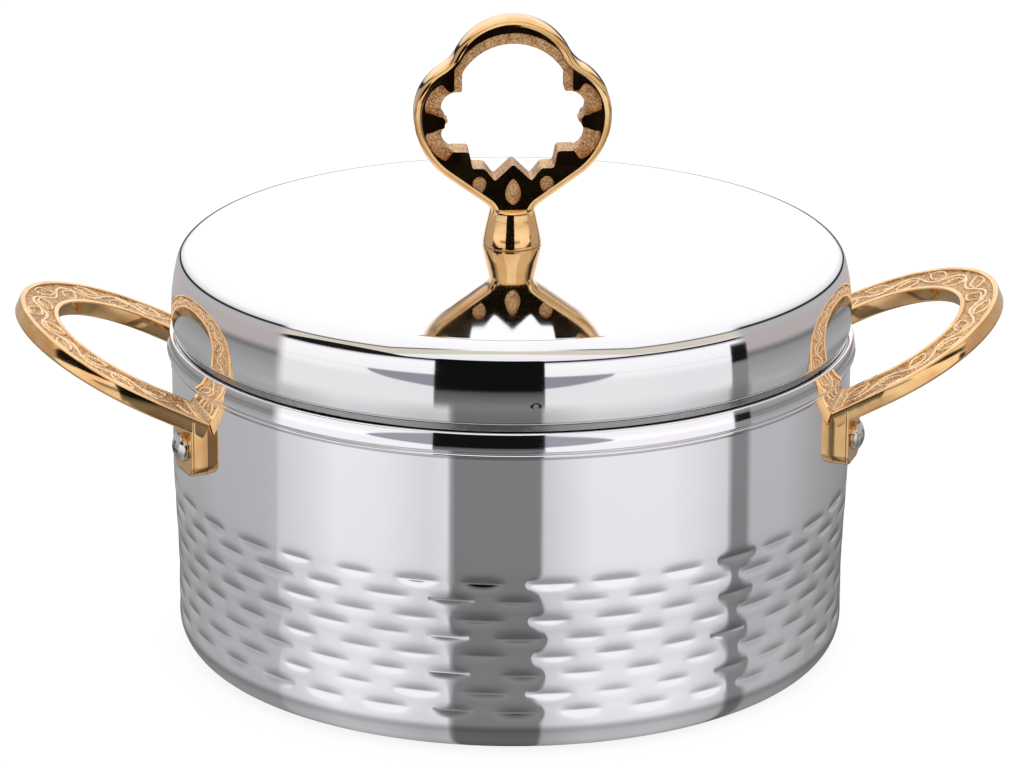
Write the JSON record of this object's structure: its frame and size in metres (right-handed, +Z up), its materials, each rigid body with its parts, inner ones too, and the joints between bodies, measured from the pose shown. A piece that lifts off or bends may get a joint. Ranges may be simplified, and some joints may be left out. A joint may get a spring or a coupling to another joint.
{
  "type": "insulated casserole",
  "caption": "Round double-wall insulated serving casserole with a hammered steel bowl, a deep lift-off lid, tilted loop handles and a pierced ring knob.",
  "frame": {"origin": "on the table under the bowl's axis, at the centre of the foot ring", "axes": "+Z up along the bowl's axis, X through both handles, -Y towards the viewer with the knob's ring seen face on"},
  "size_m": [0.3202, 0.2226, 0.2085],
  "materials": {
    "mirror_steel": "polished",
    "liner_steel": "gloss",
    "base_steel": "satin",
    "cast_gold": "polished",
    "screw_steel": "gloss",
    "bracket_steel": "satin",
    "foam": "matte",
    "plug_plastic": "satin"
  },
  "bodies": {
    "bowl": {"outer_shell": "mirror_steel", "inner_liner": "liner_steel", "body_insulation": "foam", "base_plate": "base_steel", "base_plug": "plug_plastic", "handle_left": "cast_gold", "handle_left_screws": "screw_steel", "handle_left_backing": "bracket_steel", "handle_left_nuts": "bracket_steel", "handle_right": "cast_gold", "handle_right_screws": "screw_steel", "handle_right_backing": "bracket_steel", "handle_right_nuts": "bracket_steel"},
    "lid": {"lid_shell": "mirror_steel", "lid_liner": "liner_steel", "lid_insulation": "foam", "lid_plug": "plug_plastic", "knob": "cast_gold", "knob_screw": "bracket_steel", "knob_washer": "bracket_steel"}
  },
  "joints": [
    {"name": "lid_lift", "type": "slide", "parent": "bowl", "child": "lid", "axis": [0, 0, 1], "range_m": [0, 0.15]}
  ]
}
